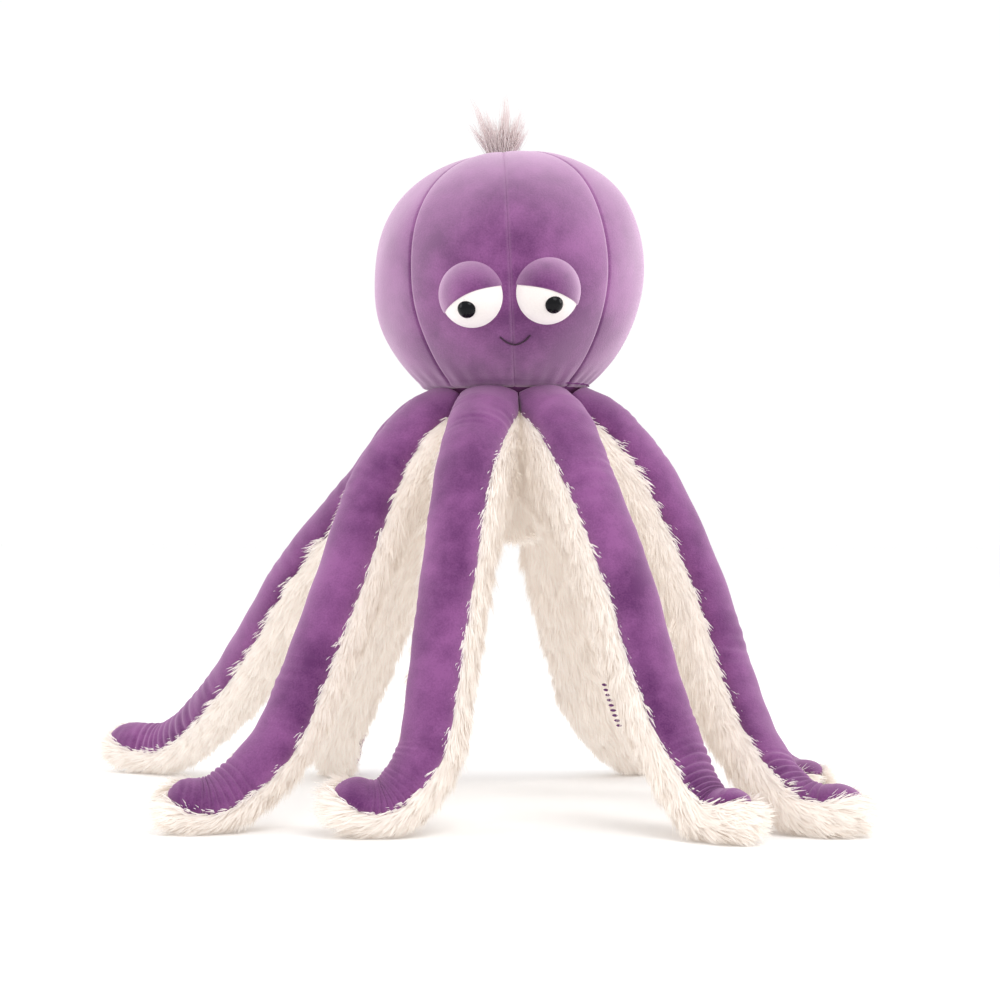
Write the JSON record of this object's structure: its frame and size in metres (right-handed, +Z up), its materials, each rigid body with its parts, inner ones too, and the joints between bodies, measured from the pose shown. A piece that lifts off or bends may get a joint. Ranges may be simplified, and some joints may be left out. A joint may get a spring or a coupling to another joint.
{
  "type": "stuffed octopus toy",
  "caption": "Stuffed octopus toy with a round panelled head, sleepy padded eyes and soft two-tone tentacles that lift and bend.",
  "frame": {"origin": "on the floor under the middle of the whole toy's footprint box", "axes": "+Z up, the face looks along -Y, +X to the viewer's right"},
  "size_m": [0.538, 0.3935, 0.4895],
  "materials": {
    "velboa": "short-pile purple velboa with a soft sheen",
    "fur": "cream long-pile plush",
    "tuft": "ivory long-pile plush, combed up",
    "fleece": "off-white short-pile fleece",
    "stuffing": "loose white polyester fibre",
    "button": "polished black",
    "washer": "moulded white",
    "black_thread": "embroidery thread",
    "purple_thread": "sewing thread"
  },
  "bodies": {
    "body": {"body_stuffing": "stuffing", "underside_patch": "fur"},
    "head": {"head_panels": "velboa", "head_stuffing": "stuffing", "eye_pads": "fleece", "eyelids": "velboa", "eye_buttons": "button", "eye_washers": "washer", "smile_stitch": "black_thread", "crown_tuft": "tuft"},
    "tentacle_1": {"tentacle_1_band": "velboa", "tentacle_1_fur": "fur", "tentacle_1_stuffing": "stuffing"},
    "tentacle_1_end": {"tentacle_1_tip_band": "velboa", "tentacle_1_tip_fur": "fur", "tentacle_1_tip_stuffing": "stuffing"},
    "tentacle_2": {"tentacle_2_band": "velboa", "tentacle_2_fur": "fur", "tentacle_2_stuffing": "stuffing"},
    "tentacle_2_end": {"tentacle_2_tip_band": "velboa", "tentacle_2_tip_fur": "fur", "tentacle_2_tip_stuffing": "stuffing", "closing_stitch": "purple_thread"},
    "tentacle_3": {"tentacle_3_band": "velboa", "tentacle_3_fur": "fur", "tentacle_3_stuffing": "stuffing"},
    "tentacle_3_end": {"tentacle_3_tip_band": "velboa", "tentacle_3_tip_fur": "fur", "tentacle_3_tip_stuffing": "stuffing"},
    "tentacle_4": {"tentacle_4_band": "velboa", "tentacle_4_fur": "fur", "tentacle_4_stuffing": "stuffing"},
    "tentacle_4_end": {"tentacle_4_tip_band": "velboa", "tentacle_4_tip_fur": "fur", "tentacle_4_tip_stuffing": "stuffing"},
    "tentacle_5": {"tentacle_5_band": "velboa", "tentacle_5_fur": "fur", "tentacle_5_stuffing": "stuffing"},
    "tentacle_5_end": {"tentacle_5_tip_band": "velboa", "tentacle_5_tip_fur": "fur", "tentacle_5_tip_stuffing": "stuffing"},
    "tentacle_6": {"tentacle_6_band": "velboa", "tentacle_6_fur": "fur", "tentacle_6_stuffing": "stuffing"},
    "tentacle_6_end": {"tentacle_6_tip_band": "velboa", "tentacle_6_tip_fur": "fur", "tentacle_6_tip_stuffing": "stuffing"},
    "tentacle_7": {"tentacle_7_band": "velboa", "tentacle_7_fur": "fur", "tentacle_7_stuffing": "stuffing"},
    "tentacle_7_end": {"tentacle_7_tip_band": "velboa", "tentacle_7_tip_fur": "fur", "tentacle_7_tip_stuffing": "stuffing"},
    "tentacle_8": {"tentacle_8_band": "velboa", "tentacle_8_fur": "fur", "tentacle_8_stuffing": "stuffing"},
    "tentacle_8_end": {"tentacle_8_tip_band": "velboa", "tentacle_8_tip_fur": "fur", "tentacle_8_tip_stuffing": "stuffing"}
  },
  "joints": [
    {"name": "head_nod", "type": "hinge", "parent": "body", "child": "head", "pos_m": [0.044, -0.0045, 0.262], "axis": [1, 0, 0], "range_deg": [-5, 5], "stiffness_Nm_per_rad": 8},
    {"name": "tentacle_1_lift", "type": "hinge", "parent": "body", "child": "tentacle_1", "pos_m": [0.02691, -0.0641, 0.29], "axis": [-0.9613, 0.2756, 0], "range_deg": [-5, 60], "stiffness_Nm_per_rad": 4},
    {"name": "tentacle_1_bend", "type": "hinge", "parent": "tentacle_1", "child": "tentacle_1_end", "pos_m": [0.00293, -0.12489, 0.11744], "axis": [-0.9062, 0.4228, 0.0008], "range_deg": [-25, 25], "stiffness_Nm_per_rad": 2.5},
    {"name": "tentacle_2_lift", "type": "hinge", "parent": "body", "child": "tentacle_2", "pos_m": [0.07406, -0.05873, 0.29], "axis": [-0.8746, -0.4848, 0], "range_deg": [-5, 60], "stiffness_Nm_per_rad": 4},
    {"name": "tentacle_2_bend", "type": "hinge", "parent": "tentacle_2", "child": "tentacle_2_end", "pos_m": [0.12505, -0.12848, 0.11831], "axis": [-0.799, -0.6, -0.0413], "range_deg": [-25, 25], "stiffness_Nm_per_rad": 2.5},
    {"name": "tentacle_3_lift", "type": "hinge", "parent": "body", "child": "tentacle_3", "pos_m": [0.1036, -0.02159, 0.29], "axis": [-0.2756, -0.9613, 0], "range_deg": [0, 60], "stiffness_Nm_per_rad": 4},
    {"name": "tentacle_3_bend", "type": "hinge", "parent": "tentacle_3", "child": "tentacle_3_end", "pos_m": [0.17777, -0.0627, 0.11844], "axis": [-0.5365, -0.8188, 0.2042], "range_deg": [-10, 25], "stiffness_Nm_per_rad": 2.5},
    {"name": "tentacle_4_lift", "type": "hinge", "parent": "body", "child": "tentacle_4", "pos_m": [0.09823, 0.02556, 0.29], "axis": [0.4848, -0.8746, 0], "range_deg": [-5, 60], "stiffness_Nm_per_rad": 4},
    {"name": "tentacle_4_bend", "type": "hinge", "parent": "tentacle_4", "child": "tentacle_4_end", "pos_m": [0.17348, 0.06105, 0.11844], "axis": [0.4383, -0.8907, 0.1204], "range_deg": [-25, 25], "stiffness_Nm_per_rad": 2.5},
    {"name": "tentacle_5_lift", "type": "hinge", "parent": "body", "child": "tentacle_5", "pos_m": [0.06109, 0.0551, 0.29], "axis": [0.9613, -0.2756, 0], "range_deg": [-5, 60], "stiffness_Nm_per_rad": 4},
    {"name": "tentacle_5_bend", "type": "hinge", "parent": "tentacle_5", "child": "tentacle_5_end", "pos_m": [0.08882, 0.11789, 0.12256], "axis": [0.9161, -0.3803, 0.1266], "range_deg": [-25, 25], "stiffness_Nm_per_rad": 2.5},
    {"name": "tentacle_6_lift", "type": "hinge", "parent": "body", "child": "tentacle_6", "pos_m": [0.01394, 0.04973, 0.29], "axis": [0.8746, 0.4848, 0], "range_deg": [-5, 60], "stiffness_Nm_per_rad": 4},
    {"name": "tentacle_6_bend", "type": "hinge", "parent": "tentacle_6", "child": "tentacle_6_end", "pos_m": [-0.0543, 0.11217, 0.11956], "axis": [0.8917, 0.4045, -0.2028], "range_deg": [-25, 25], "stiffness_Nm_per_rad": 2.5},
    {"name": "tentacle_7_lift", "type": "hinge", "parent": "body", "child": "tentacle_7", "pos_m": [-0.0156, 0.01259, 0.29], "axis": [0.2756, 0.9613, 0], "range_deg": [-3, 60], "stiffness_Nm_per_rad": 4},
    {"name": "tentacle_7_bend", "type": "hinge", "parent": "tentacle_7", "child": "tentacle_7_end", "pos_m": [-0.12002, 0.06407, 0.13162], "axis": [0.0365, 0.8711, 0.4898], "range_deg": [-15, 25], "stiffness_Nm_per_rad": 2.5},
    {"name": "tentacle_8_lift", "type": "hinge", "parent": "body", "child": "tentacle_8", "pos_m": [-0.01023, -0.03456, 0.29], "axis": [-0.4848, 0.8746, 0], "range_deg": [-5, 60], "stiffness_Nm_per_rad": 4},
    {"name": "tentacle_8_bend", "type": "hinge", "parent": "tentacle_8", "child": "tentacle_8_end", "pos_m": [-0.07611, -0.08905, 0.11844], "axis": [-0.823, 0.5561, 0.1163], "range_deg": [-25, 25], "stiffness_Nm_per_rad": 2.5}
  ]
}
